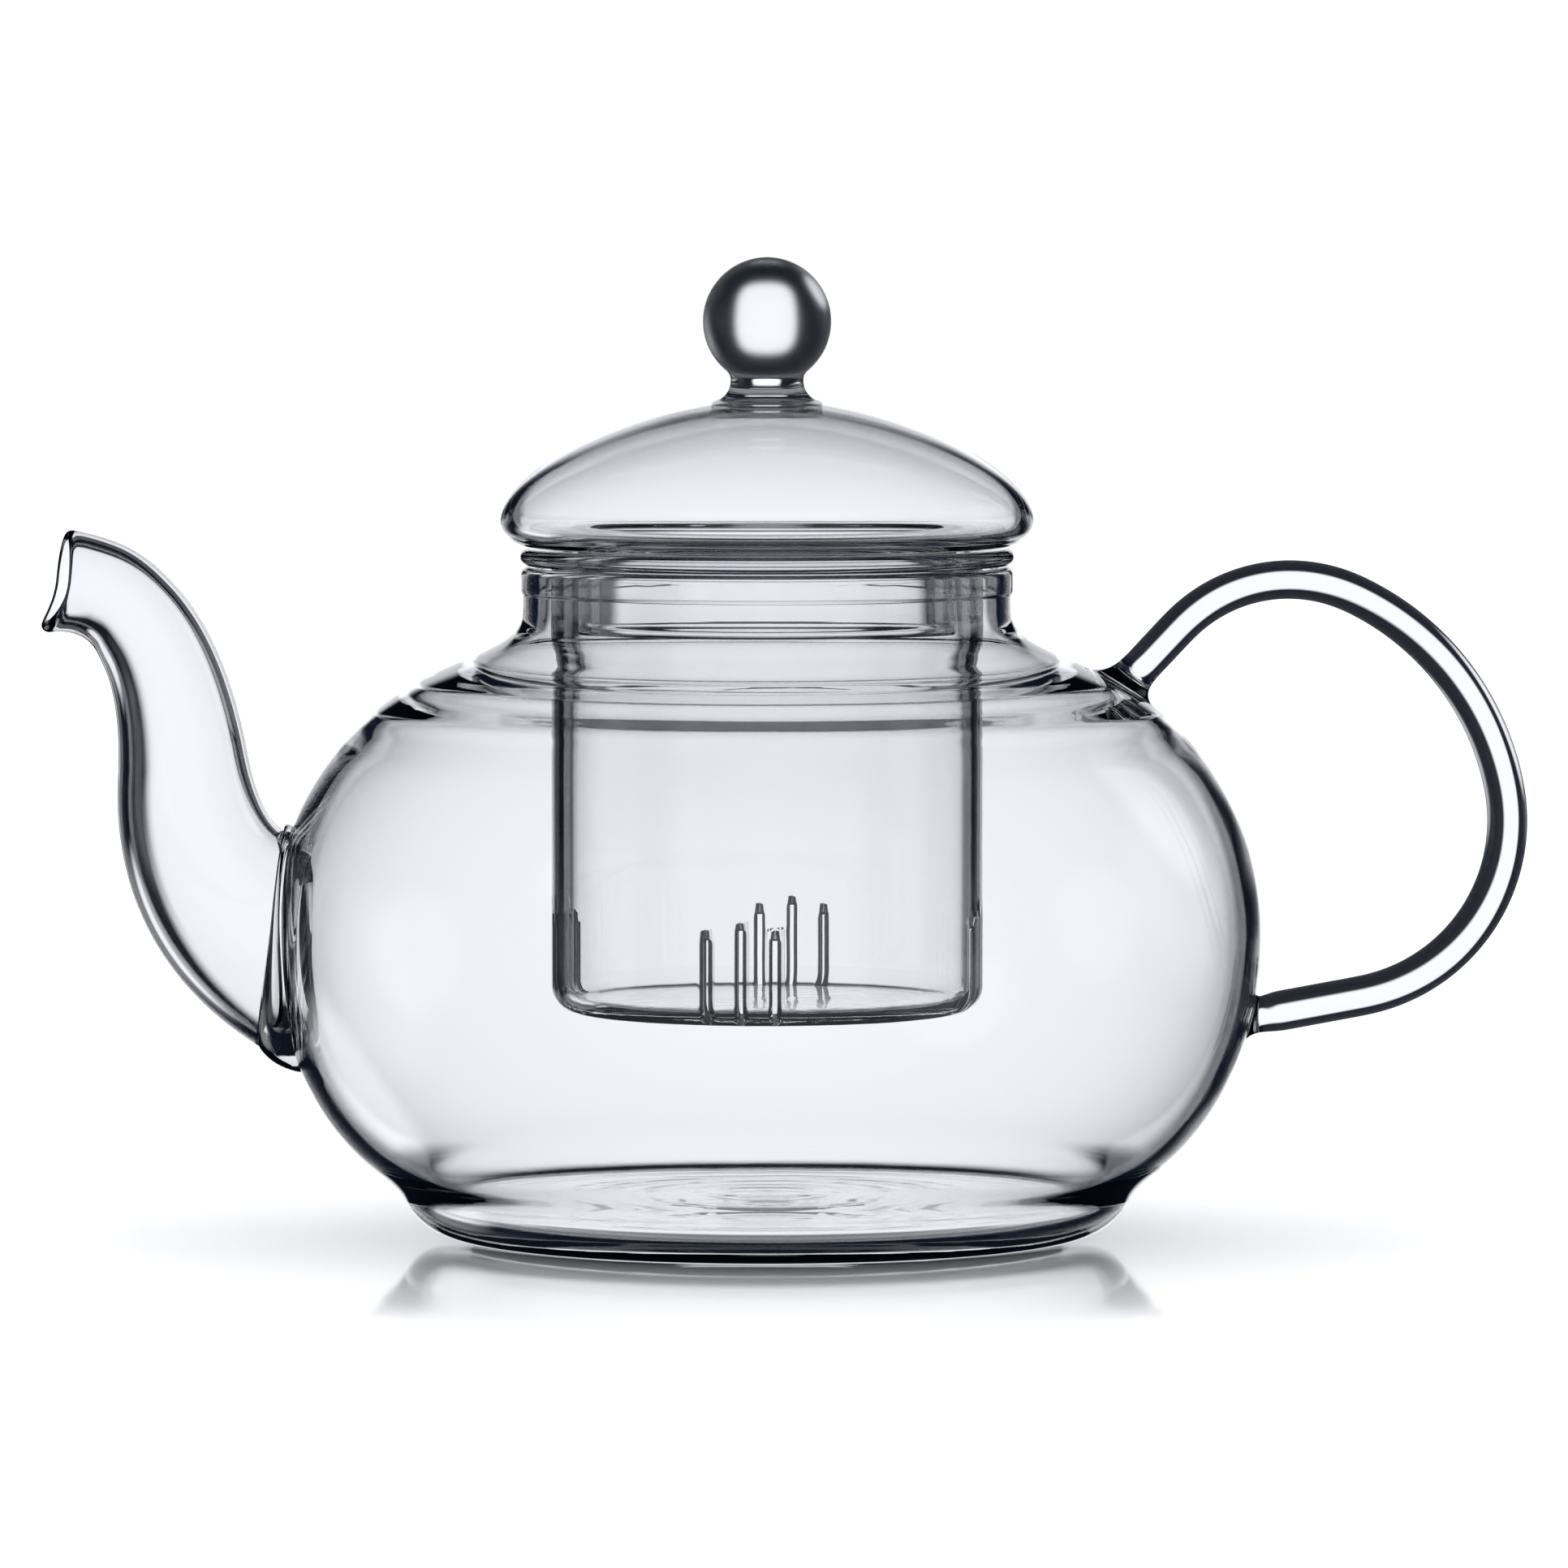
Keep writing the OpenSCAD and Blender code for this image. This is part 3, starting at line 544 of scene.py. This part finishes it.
def padSkin(foot, atEnd, padR, stand, halfCols, halfRows):
    # a concave skirt from a ring on the body up to the rod, tangent to the rod
    share = shareAt(outer, foot[1])
    edge = window(0, share, halfCols, halfRows)
    step = runOf(outer)[-1]
    spots = onSkin(outer, edge["turn"], edge["share"])
    psi = np.arctan2(spots[:, 1], (edge["share"] - share) * step)
    ringShare = share + padR * np.cos(psi) / step
    ringTurn = np.arcsin(padR * np.sin(psi) / onWall(outer, ringShare)[0])
    ring = onSkin(outer, ringTurn, ringShare)
    k = rodStop if atEnd else rodStart
    top = rodRings(rodPath, rodSize, np.pi - psi if atEnd else psi)[k]
    way = np.gradient(rodPath, axis=0)[k]
    away = np.array([way[0], 0, way[1]]) / np.linalg.norm(way) * (-1 if atEnd else 1)
    middle = np.array([foot[0], 0, foot[1]])
    t = np.linspace(0, 1, 21)[:, None, None]
    pulled = ring + s["padPull"] * (middle - ring)
    held = top - s["padHold"] * stand * away
    skirt = (1 - t)**3 * ring + 3 * t * (1 - t)**2 * pulled + 3 * t**2 * (1 - t) * held + t**3 * top
    return edge, ringTurn, ringShare, tube(skirt)


lowerEdge, lowerTurn, lowerShare, lowerSkirt = padSkin(
    rodPath[0], False, s["lowerPad"], s["lowerStand"], *s["lowerWindow"])
upperEdge, upperTurn, upperShare, upperSkirt = padSkin(
    rodPath[-1], True, s["upperPad"], s["upperStand"], *s["upperWindow"])
newPiece("handle_lower_pad", [lowerSkirt], [meltedGlass], "pot")
newPiece("handle_upper_pad", [upperSkirt], [meltedGlass], "pot")


newPiece("pot_body", [
    potGrid(outer, [outWindow, lowerEdge, upperEdge], False),
    patch(outer, outWindow, *outRing, flip=True),
    patch(outer, lowerEdge, lowerTurn, lowerShare, flip=True),
    patch(outer, upperEdge, upperTurn, upperShare, flip=True),
    potGrid(inner, [inWindow], True),
    patch(inner, inWindow, *inRing, flip=False)], [blownGlass], "pot")

s = potSet
rimOut = s["neckR"] + s["rimProud"]
bore = s["neckR"] - s["wall"]
rimFoot, rimFull = (s["neckR"], rimZ + s["rimStart"]), (rimOut, rimZ + s["rimFull"])
outR, inR = s["rimOuterR"], s["rimInnerR"]
rimPath = chain(line(outer[-1], rimFoot, 6), line(rimFoot, rimFull, 6),
                line(rimFull, (rimOut, potTop - outR)),
                arc((rimOut - outR, potTop - outR), outR, 0, 90),
                arc((bore + inR, potTop - inR), inR, 90, 180),
                line((bore, potTop - inR), inner[-1]))
rimPath = melt(evenly(rimPath, s["rimStep"])[0], s["rimMelt"])
newPiece("neck_rim", [revolve(rimPath)], [meltedGlass], "pot")


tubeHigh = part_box("infuser_tube")[1]
baseLow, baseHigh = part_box("infuser_base")
hangLow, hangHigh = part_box("infuser_rim")

infuserSet = dict(
    wall=1.8 * mm, corner=4 * mm, fillet=0.9 * mm,
    slotWide=0.8 * mm, slotHigh=14.3 * mm, slotStep=1.2 * mm, slotRamp=1.6 * mm, point=0.9,
    perGroup=3, groups=4, pitchDeg=9.2, turnDeg=-7,
    # stations on the floor, the corner below and above the start of the slots, and the wall
    floorRows=24, cornerRows=(3, 14), joinRows=2, wallRows=30,
    colTurn=0.03, rimRows=40, rimStep=0.12 * mm, rimMelt=6)

s = infuserSet
tubeR = tubeHigh.y
floorZ = baseLow.z
slotStart = tubeR - 2 * s["wall"]


def infuserSide(inset):
    # floor, rounded corner and straight wall; the outer and inner side have matching stations
    c = (tubeR - s["corner"], floorZ + s["corner"])
    k = s["corner"] - inset
    a = np.degrees(np.arccos((slotStart - c[0]) / k))
    wallX, slotsTop = tubeR - inset, floorZ + s["slotHigh"] + s["slotStep"]
    return chain(
        line((0, floorZ + inset), (c[0], floorZ + inset), s["floorRows"]),
        arc(c, k, -90, -a, s["cornerRows"][0]), arc(c, k, -a, 0, s["cornerRows"][1]),
        line((wallX, c[1]), (wallX, baseHigh.z), s["joinRows"]),
        line((wallX, baseHigh.z), (wallX, slotsTop), s["wallRows"]),
        line((wallX, slotsTop), (wallX, tubeHigh.z - s["fillet"]), s["wallRows"]))


cupOut, cupIn = infuserSide(0), infuserSide(s["wall"])
startRow = s["floorRows"] + s["cornerRows"][0]
joinRow = startRow + s["cornerRows"][1] + s["joinRows"]
groupTurns = np.radians(90 + s["turnDeg"] + 360 * np.arange(s["groups"]) / s["groups"])
offs = np.arange(s["perGroup"]) - (s["perGroup"] - 1) / 2
slotTurns = (groupTurns[:, None] + np.radians(s["pitchDeg"]) * offs).ravel() % (2 * np.pi)
slotTops = np.tile(s["slotHigh"] + np.where(abs(offs) < 1, s["slotStep"], 0), s["groups"]) + floorZ
order = np.argsort(slotTurns)
slotTurns, slotTops = slotTurns[order], slotTops[order]
halfTurn = s["slotWide"] / 2 / tubeR
stops = np.append(slotTurns, slotTurns[0] + 2 * np.pi)
cupTurns = []
for a, b in zip(stops[:-1], stops[1:]):
    count = max(3, int((b - a) / s["colTurn"]))
    cupTurns += [[a - halfTurn, a], np.linspace(a + halfTurn, b - halfTurn, count, endpoint=False)]
cupTurns = np.concatenate(cupTurns)
slotCols = np.array([np.argmin(abs(cupTurns - (a - halfTurn))) for a in slotTurns])


def cupSpots(side, turn):
    # the side turned round the Z axis: (r cos, r sin, z)
    a = np.atleast_1d(turn)
    return np.stack([side[:, :1] * np.cos(a), side[:, :1] * np.sin(a), side[:, 1:] + 0 * a], -1)


def wallRow(z):
    # the station of the straight wall that lies nearest to a height
    straight = np.flatnonzero(cupOut[:, 0] >= tubeR - 0.1 * mm)
    return int(straight[np.argmin(abs(cupOut[straight, 1] - z))])


def cupSkins(fromRow, toRow):
    # both sides of the wall between two stations, less the slots, and the cut faces of the slots
    skins, marks = [], []
    outSpots, inSpots = cupSpots(cupOut, cupTurns), cupSpots(cupIn, cupTurns)
    rowsHere = np.arange(fromRow, toRow + 1)
    keepOut = np.ones((len(cupOut) - 1, len(cupTurns)), bool)
    keepIn = keepOut.copy()
    for keep in (keepOut, keepIn):
        keep[:fromRow] = False
        keep[toRow:] = False
    for col, top in zip(slotCols, slotTops):
        topRow = wallRow(top)
        rampRow = wallRow(top - s["slotRamp"])
        cols = [col, (col + 1) % len(cupTurns), (col + 2) % len(cupTurns)]
        keepOut[startRow:topRow, cols[:2]] = False
        keepIn[startRow:rampRow, cols[:2]] = False
        share = np.clip((np.arange(len(cupOut)) - rampRow) / (topRow - rampRow), 0, 1)[:, None]
        upTo = slice(0, topRow + 1)
        for c in (cols[0], cols[2]):   # the saw leaves a point at the top
            toMiddle = outSpots[upTo, cols[1]] - outSpots[upTo, c]
            outSpots[upTo, c] += s["point"] * share[upTo] * toMiddle
        cut = {}
        for c in cols:
            slope = inSpots[rampRow, c] * (1 - share) + outSpots[topRow, c] * share
            cut[c] = np.where(share > 0, slope, inSpots[:, c])
        rows = rowsHere[(rowsHere >= startRow) & (rowsHere <= topRow)]
        if len(rows) > 1:
            for c, flip in ((cols[0], False), (cols[2], True)):
                wall = np.stack([outSpots[rows, c], cut[c][rows]], 1)
                quads = gridFaces(len(rows), 2, closed=False)
                skins.append((wall.reshape(-1, 3), quads[:, ::-1] if flip else quads))
                marks.append(1)
        ramp = rows[rows >= rampRow]
        if len(ramp) > 1:
            face = np.stack([cut[c][ramp] for c in cols], 1)
            skins.append((face.reshape(-1, 3), gridFaces(len(ramp), 3, closed=False)))
            marks.append(1)
        if fromRow <= startRow < toRow:
            end = np.stack([np.stack([outSpots[startRow, c], inSpots[startRow, c]]) for c in cols], 1)
            skins.append((end.reshape(-1, 3), gridFaces(2, 3, closed=False)))
            marks.append(1)
    skins = [(outSpots.reshape(-1, 3), gridFaces(*outSpots.shape[:2], keep=keepOut)),
             (inSpots.reshape(-1, 3), gridFaces(*inSpots.shape[:2], keep=keepIn)[:, ::-1])] + skins
    return skins, [0, 0] + marks


baseSkins, baseMarks = cupSkins(0, joinRow)
tubeSkins, tubeMarks = cupSkins(joinRow, len(cupOut) - 1)
newPiece("infuser_base", baseSkins, [floorGlass, groundGlass], "infuser",
         faceFinish=baseMarks)
newPiece("infuser_tube", tubeSkins, [drawnGlass, groundGlass], "infuser",
         faceFinish=tubeMarks)

edgeR = (hangHigh.z - hangLow.z) / 2
tubeTop, tubeBore = tubeHigh.z - s["fillet"], tubeR - s["wall"]
flatR = hangHigh.y - edgeR
hangPath = chain(line((tubeR, tubeTop), (tubeR, hangLow.z)),
                 line((tubeR, hangLow.z), (flatR, hangLow.z), s["rimRows"]),
                 arc((flatR, hangLow.z + edgeR), edgeR, -90, 90),
                 line((flatR, hangHigh.z), (tubeBore, hangHigh.z), s["rimRows"]),
                 line((tubeBore, hangHigh.z), (tubeBore, tubeTop)))
hangPath = melt(evenly(hangPath, s["rimStep"])[0], s["rimMelt"])
# the rim's grey glass tint is painted shade, matched to the look
newPiece("infuser_rim", [revolve(hangPath, angles=cupTurns)], [rimPaintedShadeGlass], "infuser")


domeLow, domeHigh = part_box("lid_dome")
collarLow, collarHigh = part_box("lid_collar")
stemLow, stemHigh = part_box("knob_stem")
ballLow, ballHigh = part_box("knob_ball")

lidSet = dict(
    wall=1.8 * mm, edgeHigh=3.9 * mm, edgeWide=5 * mm, domeHigh=18.35 * mm, fullness=1.7,
    domeDeg=75, stemPulls=(0.26, 0.5),                # where the dome gives way to the stem's foot
    lipFull=1.15, flatRows=60, step=0.15 * mm, meltOver=9)

s = lidSet
lidR, lidZ = domeHigh.y, domeLow.z
wideZ = lidZ + s["edgeHigh"]
stemR = stemHigh.y
collarR = collarHigh.y
collarBore = collarR - s["wall"]
ballR = (ballHigh.y - ballLow.y) / 2
ballZ = ballHigh.z - ballR


def domeSide(inset, fromDeg):
    # between a cone and an ellipse: share of the radius to the power of fullness, plus share of
    # the height to the same power, makes one
    a = np.radians(np.linspace(fromDeg, 0, 161))[:, None]
    return np.hstack([(lidR - inset) * np.cos(a)**(2 / s["fullness"]),
                      wideZ + (s["domeHigh"] - inset) * np.sin(a)**(2 / s["fullness"])])


def lidEdge(inset):
    # the rounded edge, a quarter of an ellipse, moved in by inset
    return arc((lidR - s["edgeWide"], wideZ), (s["edgeWide"] - inset, s["edgeHigh"] - inset), 0, -90)


domeOut = domeSide(0, s["domeDeg"])
domeWay = (domeOut[4] - domeOut[0]) / np.linalg.norm(domeOut[4] - domeOut[0])
stemFoot = blend((stemR, stemLow.z), (0, -1), s["stemPulls"][0], domeOut[0], domeWay, s["stemPulls"][1])
ballDeg = np.degrees(np.arcsin((stemHigh.z - ballZ) / ballR))
lipC = (collarBore + s["wall"] / 2, collarLow.z + s["wall"] / 2)
lidPath = chain(
    domeSide(s["wall"], 90), lidEdge(s["wall"]),
    line((lidR - s["edgeWide"], lidZ + s["wall"]), (collarBore, lidZ + s["wall"]), s["flatRows"]),
    line((collarBore, lidZ + s["wall"]), (collarBore, lipC[1]), s["flatRows"]),
    arc(lipC, s["wall"] / 2 * s["lipFull"], 180, 360),
    line((collarR, lipC[1]), (collarR, lidZ), s["flatRows"]),
    line((collarR, lidZ), (lidR - s["edgeWide"], lidZ), s["flatRows"]), lidEdge(0)[::-1],
    domeOut[::-1], stemFoot[::-1],
    line((stemR, stemLow.z), (stemR, stemHigh.z)), arc((0, ballZ), ballR, ballDeg, 90, 80))
lidPath = melt(evenly(lidPath, s["step"])[0], s["meltOver"])


def rowNear(path, r, z):
    # the place on a path that lies nearest to (r, z), by the sum of its two distances
    return int(np.argmin(abs(path[:, 1] - z) + abs(path[:, 0] - r)))


lipRow = int(np.argmin(lidPath[:, 1]))
boreRow = rowNear(lidPath[:lipRow], collarBore, lidZ)
collarRow = lipRow + rowNear(lidPath[lipRow:], collarR, lidZ - mm)
stemRow = rowNear(lidPath, stemR, stemLow.z)
ballRow = rowNear(lidPath, stemR, stemHigh.z)


def lidPiece(name, finish, slotName, *spans):
    # the spans of the lid's outline that belong to one piece, carried round
    newPiece(name, [revolve(lidPath[a:b + 1]) for a, b in spans], [finish], "lid")


lidPiece("lid_dome", blownGlass, "blown_glass", (0, boreRow), (collarRow, stemRow))
lidPiece("lid_collar", drawnGlass, "tube_glass", (boreRow, collarRow))
lidPiece("knob_stem", rodGlass, "rod_glass", (stemRow, ballRow))
lidPiece("knob_ball", ballGlass, "rod_glass", (ballRow, len(lidPath) - 1))


def stagePlane(name, width, height, upright=False):
    # a flat sheet round its own middle, lying or upright
    w, h = width / 2, height / 2
    corners = [(-w, -h), (w, -h), (w, h), (-w, h)]
    mesh = bpy.data.meshes.new(name)
    mesh.from_pydata([(x, 0, y) if upright else (x, y, 0) for x, y in corners], [], [(0, 1, 2, 3)])
    sheet = bpy.data.objects.new(name, mesh)
    bpy.context.collection.objects.link(sheet)
    return sheet


def fade(tree, value, fromValue, toValue, power=1.0):
    # power at fromValue, nothing at toValue, softly between
    ends = {"From Min": fromValue, "From Max": toValue, "To Min": power, "To Max": 0.0}
    node = add(tree, "ShaderNodeMapRange", ends, interpolation_type="SMOOTHSTEP")
    tree.links.new(value, node.inputs["Value"])
    return node.outputs["Result"]


def combine(tree, operation, a, b):
    # one math node on two values, each a number or a socket
    node = add(tree, "ShaderNodeMath", operation=operation)
    for k, value in enumerate((a, b)):
        if isinstance(value, (int, float)):
            node.inputs[k].default_value = value
        else:
            tree.links.new(value, node.inputs[k])
    return node.outputs["Value"]


floorSet = dict(
    size=12.0, drop=0.05 * mm, colour="#F7F8FA", roughness=0.06,
    gloss=0.5, glossFrom=0.06, glossTo=0.15, narrow=1.5)   # glossy near the pot, less far along X

floor = stagePlane("floor", floorSet["size"], floorSet["size"])
floor.location.z = -floorSet["drop"]
floor.visible_transmission = False
floor.visible_glossy = False
pale = bpy.data.materials.new("pale_floor")
pale.use_nodes = True
tree = pale.node_tree
paleShader = tree.nodes["Principled BSDF"]
paleShader.inputs["Base Color"].default_value = paint(floorSet["colour"])
paleShader.inputs["Roughness"].default_value = floorSet["roughness"]
spot = add(tree, "ShaderNodeSeparateXYZ")
tree.links.new(add(tree, "ShaderNodeTexCoord").outputs["Object"], spot.inputs[0])
# the way from the middle: the root of (narrow x) squared plus y squared
aside = combine(tree, "MULTIPLY", spot.outputs["X"], spot.outputs["X"])
aside = combine(tree, "MULTIPLY", aside, floorSet["narrow"]**2)
deep = combine(tree, "MULTIPLY", spot.outputs["Y"], spot.outputs["Y"])
away = combine(tree, "SQRT", combine(tree, "ADD", aside, deep), 0.0)
near = fade(tree, away, floorSet["glossFrom"], floorSet["glossTo"], floorSet["gloss"])
tree.links.new(near, paleShader.inputs["Specular IOR Level"])
floor.data.materials.append(pale)

panelSet = dict(
    away=1.0, left=-0.25, right=0.27, low=-0.25, high=0.4,   # where the bright sheet ends
    soft=0.16, fullness=4,                                    # how far its edge fades, how square it is
    colour="#F7F8FC", power=1.1)

s = panelSet
width, height = s["right"] - s["left"], s["high"] - s["low"]
panel = stagePlane("lit_sheet", width * (1 + s["soft"]), height * (1 + s["soft"]), upright=True)
panel.location = ((s["left"] + s["right"]) / 2, s["away"], (s["low"] + s["high"]) / 2)
panel.visible_camera = False
panel.visible_diffuse = False
panel.visible_shadow = False
lit = bpy.data.materials.new("lit_sheet")
lit.use_nodes = True
tree = lit.node_tree
tree.nodes.clear()
spot = add(tree, "ShaderNodeSeparateXYZ")
tree.links.new(add(tree, "ShaderNodeTexCoord").outputs["Object"], spot.inputs[0])
# a square with round corners: the two shares of the half sizes, each to the power of fullness
shares = []
for axis, half in (("X", width / 2), ("Z", height / 2)):
    share = combine(tree, "MULTIPLY", combine(tree, "ABSOLUTE", spot.outputs[axis], 0.0), 1 / half)
    shares.append(combine(tree, "POWER", share, s["fullness"]))
reach = combine(tree, "POWER", combine(tree, "ADD", *shares), 1 / s["fullness"])
glow = fade(tree, reach, 1 - s["soft"], 1 + s["soft"], s["power"])
bright = add(tree, "ShaderNodeEmission", {"Color": paint(s["colour"])})
tree.links.new(glow, bright.inputs["Strength"])
clear = add(tree, "ShaderNodeBsdfTransparent")
both = add(tree, "ShaderNodeAddShader")
tree.links.new(bright.outputs[0], both.inputs[0])
tree.links.new(clear.outputs[0], both.inputs[1])
tree.links.new(both.outputs[0], add(tree, "ShaderNodeOutputMaterial").inputs["Surface"])
panel.data.materials.append(lit)

studioSet = dict(
    backdrop="#FFFFFF", backdropPower=1.06, fillPower=1.65, dark="#0E1520", darkPower=1.0,
    # soft lights round the pot: the way each lies in (degrees from +Y towards -X, and height),
    # where it starts to fade and where it ends, in degrees, and its brightness
    lights=((90, -2, 9, 19, 0.5), (45, -24, 9, 17, 1.05), (225, -14, 9, 19, 0.6),
            (-62, 10, 10, 24, 0.45), (180, 8, 8, 70, 0.4)))

world = bpy.data.worlds.new("studio")
bpy.context.scene.world = world
world.use_nodes = True
tree = world.node_tree
tree.nodes.clear()
link = tree.links.new
way = add(tree, "ShaderNodeTexCoord").outputs["Generated"]
brightest = 0.0
for azimuth, height, start, end, power in studioSet["lights"]:
    a, h = np.radians(azimuth), np.radians(height)
    toward = add(tree, "ShaderNodeVectorMath", operation="DOT_PRODUCT")
    toward.inputs[1].default_value = (-np.sin(a) * np.cos(h), np.cos(a) * np.cos(h), np.sin(h))
    link(way, toward.inputs[0])
    full, nothing = np.cos(np.radians((start, end)))
    glow = fade(tree, toward.outputs["Value"], float(full), float(nothing), power)
    brightest = combine(tree, "MAXIMUM", brightest, glow)
darkRoom = add(tree, "ShaderNodeBackground",
               {"Color": paint(studioSet["dark"]), "Strength": studioSet["darkPower"]})
panelLight = add(tree, "ShaderNodeBackground", {"Color": paint(panelSet["colour"])})
link(brightest, panelLight.inputs["Strength"])
studio = add(tree, "ShaderNodeAddShader")
link(darkRoom.outputs[0], studio.inputs[0])
link(panelLight.outputs[0], studio.inputs[1])
fill = add(tree, "ShaderNodeBackground",
           {"Color": paint(studioSet["backdrop"]), "Strength": studioSet["fillPower"]})
backdrop = add(tree, "ShaderNodeBackground",
               {"Color": paint(studioSet["backdrop"]), "Strength": studioSet["backdropPower"]})
# scattered light sees the fill, the camera sees the backdrop, and all else sees the studio
ray = add(tree, "ShaderNodeLightPath")
first = add(tree, "ShaderNodeMixShader")
second = add(tree, "ShaderNodeMixShader")
link(ray.outputs["Is Diffuse Ray"], first.inputs[0])
link(studio.outputs[0], first.inputs[1])
link(fill.outputs[0], first.inputs[2])
link(ray.outputs["Is Camera Ray"], second.inputs[0])
link(first.outputs[0], second.inputs[1])
link(backdrop.outputs[0], second.inputs[2])
link(second.outputs[0], add(tree, "ShaderNodeOutputWorld").inputs["Surface"])

scene = bpy.context.scene
scene.view_settings.view_transform = "Standard"
scene.cycles.max_bounces = 40
scene.cycles.transmission_bounces = 40
scene.cycles.glossy_bounces = 12
scene.cycles.transparent_max_bounces = 16
print("studio lit")
